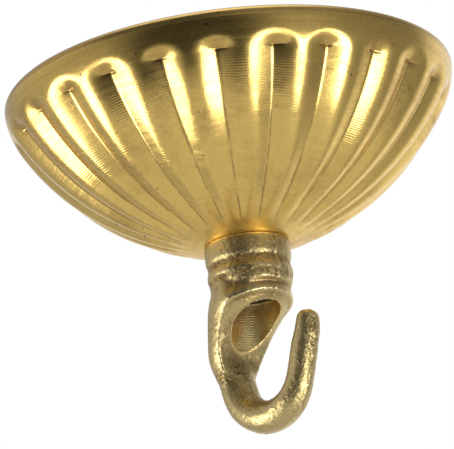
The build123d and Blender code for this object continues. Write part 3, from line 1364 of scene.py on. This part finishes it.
    def _sandiness(self, place: Vector) -> float:
        """Share of coarse sand grain at a place.

        Args:
            place: The place, in millimetres.

        Returns:
            The share, from 0 to 1.
        """
        share = max(bell(place.z - level, width) for level, width in self.sandy_rings)
        for *centre, reach in self.sandy_spots:
            share = max(share, math.exp(-((place - Vector(centre)).length_squared) / reach**2))
        broken = self.sand_mean + self.sand_swing * noise.noise(place * self.sand_scale)
        return smooth_step(share * broken * self.sand_gain - self.sand_cut)

    def _mark_edges(self, bm: bmesh.types.BMesh) -> None:
        """Store how far each vertex stands out of the eased surface, and how sandy it is.

        Args:
            bm: The shaped hook.
        """
        edge_layer = bm.verts.layers.float.new(Layer.EDGE.value)
        sand_layer = bm.verts.layers.float.new(Layer.SAND.value)
        eased = bm.copy()
        self._smooth(eased, self.edge_passes)
        bm.normal_update()
        bm.verts.ensure_lookup_table()
        eased.verts.ensure_lookup_table()
        for vert, smooth in zip(bm.verts, eased.verts):
            vert[edge_layer] = (vert.co - smooth.co).dot(vert.normal) / self.edge_scale
            vert[sand_layer] = self._sandiness(vert.co)
        eased.free()

    def dress(self, piece: bpy.types.Object, finish: bpy.types.Material) -> None:
        """Give the hook its finish and put it in the frame.

        Args:
            piece: The hook.
            finish: Its material.
        """
        piece.data.materials.append(finish)
        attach(piece, "root")
        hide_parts("hook_casting")


@dataclass
class ThreadedNipple:
    """Hollow nipple with its M10 x 1 thread cut along its whole length."""

    crest_radius: float = 5.0
    root_radius: float = 4.42
    bore_radius: float = 3.75
    pitch: float = 1.0
    crest_share: float = 0.15
    root_share: float = 0.25
    steps: int = 48
    spare_turns: int = 3
    lead_turns: int = 2
    merge_reach: float = 1e-3
    smooth_angle: float = 35.0

    def build(self) -> bpy.types.Object:
        """Spin a screw thread, cut it to the nipple's length and close it round the bore.

        Returns:
            The new piece.
        """
        low, high = (corner.z / MM for corner in map(Vector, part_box("threaded_nipple")))
        bm = bmesh.new()
        line = [bm.verts.new(place) for place in self._section(low, high)]
        spin_line(bm, line, self.steps, self.pitch / self.steps)
        bmesh.ops.remove_doubles(bm, verts=bm.verts, dist=self.merge_reach)
        for height, side in ((low, -1.0), (high, 1.0)):
            bmesh.ops.bisect_plane(
                bm,
                geom=bm.verts[:] + bm.edges[:] + bm.faces[:],
                plane_co=(0.0, 0.0, height),
                plane_no=(0.0, 0.0, side),
                clear_outer=True,
            )
        bmesh.ops.remove_doubles(bm, verts=bm.verts, dist=self.merge_reach)
        self._add_bore(bm)
        bmesh.ops.recalc_face_normals(bm, faces=bm.faces)
        for edge in bm.edges:
            edge.smooth = edge.calc_face_angle(0.0) < math.radians(self.smooth_angle)
        return finished_object(bm, "nipple_thread")

    def _section(self, low: float, high: float) -> list[Place]:
        """Draw the section of the thread, with turns to spare at both ends.

        Args:
            low: Height of the nipple's lower end.
            high: Height of its upper end.

        Returns:
            The points from the bottom up.
        """
        flank = (1.0 - self.crest_share - self.root_share) / 2.0
        turn = (
            (self.root_radius, 0.0),
            (self.root_radius, self.root_share),
            (self.crest_radius, self.root_share + flank),
            (self.crest_radius, self.root_share + flank + self.crest_share),
        )
        points = []
        for number in range(math.ceil((high - low) / self.pitch) + self.spare_turns):
            base = low + (number - self.lead_turns) * self.pitch
            points += [(radius, 0.0, base + share * self.pitch) for radius, share in turn]
        return points

    def _add_bore(self, bm: bmesh.types.BMesh) -> None:
        """Turn both cut ends inwards to the bore and join them.

        Args:
            bm: The thread, open at both ends.
        """
        ends = [edge for edge in bm.edges if edge.is_boundary]
        inner = bmesh.ops.extrude_edge_only(bm, edges=ends)["geom"]
        for vert in inner:
            if isinstance(vert, bmesh.types.BMVert):
                level = Vector((vert.co.x, vert.co.y, 0.0)).normalized() * self.bore_radius
                vert.co = Vector((level.x, level.y, vert.co.z))
        rings = [edge for edge in bm.edges if edge.is_boundary]
        bmesh.ops.bridge_loops(bm, edges=rings)

    def dress(self, piece: bpy.types.Object, finish: bpy.types.Material) -> None:
        """Give the nipple its finish and put it in the frame.

        Args:
            piece: The nipple.
            finish: Its material.
        """
        piece.data.materials.append(finish)
        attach(piece, "root")
        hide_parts("threaded_nipple")


# Studio


@dataclass
class ProductCamera:
    """Camera below the canopy, placed by the outline of the rim and bowl.

    The shifts and the distance are in units of the canopy's radius.
    """

    elevation: float = 18.127728
    roll: float = -6.744203
    side_azimuth: float = 43.0
    shift_right: float = 0.00311078
    shift_down: float = -0.61562762
    pixels_per_unit: float = 224.679766
    distance: float = 20.0
    unit: float = 40.0
    clip: Span = (0.01, 50.0)

    def build(self) -> None:
        """Make the camera and set it as the scene's camera."""
        side = math.radians(self.side_azimuth)
        lift = math.radians(self.elevation)
        roll = math.radians(self.roll)
        away = Vector((-math.cos(side), math.sin(side), 0.0))
        level = Vector((math.sin(side), math.cos(side), 0.0))
        up = Vector((0.0, 0.0, 1.0))
        forward = away * math.cos(lift) + up * math.sin(lift)
        top = up * math.cos(lift) - away * math.sin(lift)
        right = level * math.cos(roll) + top * math.sin(roll)
        above = top * math.cos(roll) - level * math.sin(roll)
        place = above * self.shift_down - right * self.shift_right - forward * self.distance
        turn = Matrix((right, above, -forward)).transposed()
        camera = bpy.data.objects.new("Camera", bpy.data.cameras.new("Camera"))
        camera.matrix_world = Matrix.Translation(place * self.unit * MM) @ turn.to_4x4()
        camera.data.sensor_width = SENSOR
        camera.data.lens = self.pixels_per_unit * self.distance * SENSOR / IMAGE_WIDTH
        camera.data.clip_start, camera.data.clip_end = self.clip
        bpy.context.scene.collection.objects.link(camera)
        bpy.context.scene.camera = camera


@dataclass(frozen=True)
class Softbox:
    """A rectangular lamp that faces the canopy, with its angles in degrees and the rest in metres."""

    name: str
    azimuth: float
    elevation: float
    distance: float
    width: float
    height: float
    radiance: float

    def build(self, target: Vector) -> None:
        """Make the lamp and aim it.

        Args:
            target: The point that it faces, in metres.
        """
        light = bpy.data.lights.new(self.name, "AREA")
        light.shape = "RECTANGLE"
        light.size = self.width
        light.size_y = self.height
        light.energy = self.radiance * math.pi * self.width * self.height
        lamp = bpy.data.objects.new(self.name, light)
        way = direction(self.azimuth, self.elevation)
        lamp.location = target + way * self.distance
        lamp.rotation_euler = (-way).to_track_quat("-Z", "Y").to_euler()
        lamp.visible_camera = False
        bpy.context.scene.collection.objects.link(lamp)


@dataclass(frozen=True)
class Wall:
    """A round part of the surroundings that is paler or darker than the rest.

    It has its level up to the inner angle from its middle, and ends at the outer one.
    """

    azimuth: float
    elevation: float
    inner: float
    outer: float
    level: float


@dataclass
class Studio:
    """Pale floor, plain surroundings and soft lamps, with lengths in metres.

    Each wall lies over those before it.
    """

    floor_height: float = -1.70
    floor_radius: float = 1.53
    floor_segments: int = 96
    floor_colour: Colour = (0.84, 0.84, 0.83, 1.0)
    floor_roughness: float = 0.9
    target: Place = (0.0, 0.0, -0.02)
    lamps: tuple[Softbox, ...] = (
        Softbox("Left softbox", -130.0, -28.0, 0.42, 0.26, 0.19, 5.2),
        Softbox("Right softbox", 1.0, -37.0, 0.42, 0.185, 0.20, 6.0),
    )
    plain_level: float = 0.45
    walls: tuple[Wall, ...] = (
        Wall(-143.0, 40.0, 15.0, 50.0, 0.68),
        Wall(-3.0, 50.0, 10.0, 40.0, 0.42),
        Wall(-78.0, 45.0, 15.0, 45.0, 0.16),
        Wall(48.0, 0.0, 20.0, 45.0, 0.27),
        Wall(-58.0, -12.0, 22.0, 50.0, 0.05),
        Wall(117.0, 0.0, 25.0, 50.0, 1.0),
        Wall(0.0, 90.0, 15.0, 35.0, 1.95),
    )

    def build(self) -> None:
        """Make the floor, the surroundings and the lamps."""
        bm = bmesh.new()
        bmesh.ops.create_circle(
            bm, cap_ends=True, segments=self.floor_segments, radius=self.floor_radius / MM
        )
        bmesh.ops.translate(bm, vec=(0.0, 0.0, self.floor_height / MM), verts=bm.verts)
        floor = finished_object(bm, "floor")
        paint = bpy.data.materials.new("Pale floor")
        paint.use_nodes = True
        shader = paint.node_tree.nodes["Principled BSDF"]
        shader.inputs["Base Color"].default_value = self.floor_colour
        shader.inputs["Roughness"].default_value = self.floor_roughness
        floor.data.materials.append(paint)
        self._surroundings()
        for lamp in self.lamps:
            lamp.build(Vector(self.target))

    def _surroundings(self) -> None:
        """Grey surroundings with a white backdrop behind the object, all white to the camera."""
        world = bpy.data.worlds.new("Surroundings")
        world.use_nodes = True
        tree = ShaderTree(world.node_tree)
        background = world.node_tree.nodes["Background"]
        towards = tree.node("ShaderNodeTexCoord").outputs["Generated"]
        level = self.plain_level
        for wall in self.walls:
            facing = tree.node("ShaderNodeVectorMath", operation="DOT_PRODUCT")
            tree.feed(facing.inputs[0], towards)
            tree.feed(facing.inputs[1], direction(wall.azimuth, wall.elevation))
            low, high = math.cos(math.radians(wall.outer)), math.cos(math.radians(wall.inner))
            share = tree.remap(facing.outputs["Value"], low, high)
            rest = tree.math("MULTIPLY", tree.inverse(share), level)
            level = tree.math("ADD", tree.math("MULTIPLY", share, wall.level), rest)
        rays = tree.node("ShaderNodeLightPath")
        seen = tree.math("MAXIMUM", rays.outputs["Is Camera Ray"], rays.outputs["Is Transmission Ray"])
        shade = tree.math("ADD", level, tree.math("MULTIPLY", seen, tree.inverse(level)))
        colour = tree.node("ShaderNodeCombineColor")
        for socket in colour.inputs[:3]:
            tree.feed(socket, shade)
        tree.feed(background.inputs["Color"], colour.outputs[0])
        bpy.context.scene.world = world


# Main


def dress_node(node: bpy.types.Object, finish: bpy.types.Material) -> None:
    """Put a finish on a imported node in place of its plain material.

    Args:
        node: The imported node.
        finish: Its new material.
    """
    node.data.materials.clear()
    node.data.materials.append(finish)
    LOG.info("%s: %s", node.name, finish.name)


def main() -> None:
    """Build the pieces in order and report each one."""
    logging.basicConfig(level=logging.INFO, format="%(message)s")
    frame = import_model()
    nodes = frame["nodes"]
    bpy.context.scene.view_settings.view_transform = "Standard"
    ProductCamera().build()
    Studio().build()

    effects = EffectLibrary()
    pressed = PressedBrass().material(effects)
    cast = CastBrass().material(effects)
    turned = TurnedMetal().material(effects)
    zinc = TurnedMetal(
        name="Zinc plated steel",
        colour=(0.56, 0.60, 0.66, 1.0),
        film=(0.40, 0.43, 0.48, 1.0),
        roughness=0.3,
    ).material(effects)

    shell = CanopyShell()
    bowl = shell.build()
    shell.dress(bowl, pressed)
    LOG.info("canopy bowl: %d faces", len(bowl.data.polygons))

    casting = HookCasting()
    hook = casting.build(nodes["hook_casting"])
    casting.dress(hook, cast)
    LOG.info("lamp hook: %d faces", len(hook.data.polygons))

    nipple = ThreadedNipple()
    tube = nipple.build()
    nipple.dress(tube, zinc)
    LOG.info("threaded nipple: %d faces", len(tube.data.polygons))

    for name in BRASS_NODES:
        dress_node(nodes[name], turned)
    for name in STEEL_NODES:
        dress_node(nodes[name], zinc)

    LOG.info("boxes written")


if __name__ == "__main__":
    main()
